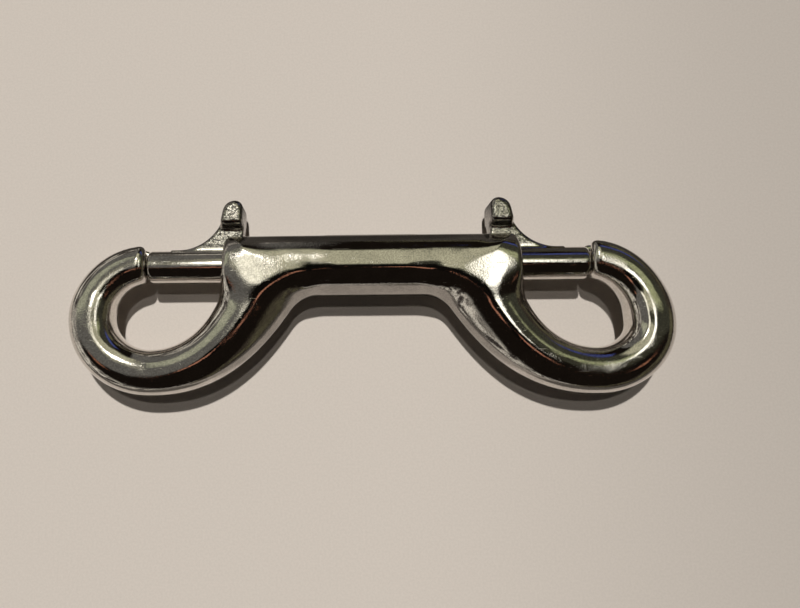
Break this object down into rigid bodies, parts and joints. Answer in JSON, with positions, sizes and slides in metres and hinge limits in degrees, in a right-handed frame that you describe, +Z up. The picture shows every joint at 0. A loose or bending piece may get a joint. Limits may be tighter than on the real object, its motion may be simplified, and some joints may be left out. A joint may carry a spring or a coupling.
{
  "type": "double ended snap hook",
  "caption": "Polished steel snap with a hook at each end, each closed by a sliding bolt with a thumb lever and held shut by a spring in the barrel.",
  "frame": {"origin": "bottom centre of the bounding box, with the snap lying on its side", "axes": "+X along the two bolts, +Y from the hooks towards the thumb levers, +Z up, square to the plane of the hooks"},
  "size_m": [0.1, 0.0324, 0.0103],
  "materials": {
    "polished_casting": "mirror polished stainless steel casting",
    "polished_bolt": "polished stainless steel bolt with an as-cast grainy web",
    "spring_wire": "drawn stainless spring wire"
  },
  "bodies": {
    "frame": {"body": "polished_casting", "spring": "spring_wire"},
    "bolt_left": {"bolt_left": "polished_bolt"},
    "bolt_right": {"bolt_right": "polished_bolt"}
  },
  "joints": [
    {"name": "left_bolt_slide", "type": "slide", "parent": "frame", "child": "bolt_left", "axis": [1, 0, 0], "range_m": [0, 0.012], "stiffness_N_per_m": 600, "springref_m": -0.006, "deforming": ["spring"]},
    {"name": "right_bolt_slide", "type": "slide", "parent": "frame", "child": "bolt_right", "axis": [-1, 0, 0], "range_m": [0, 0.0107], "stiffness_N_per_m": 600, "springref_m": -0.006, "deforming": ["spring"]}
  ]
}
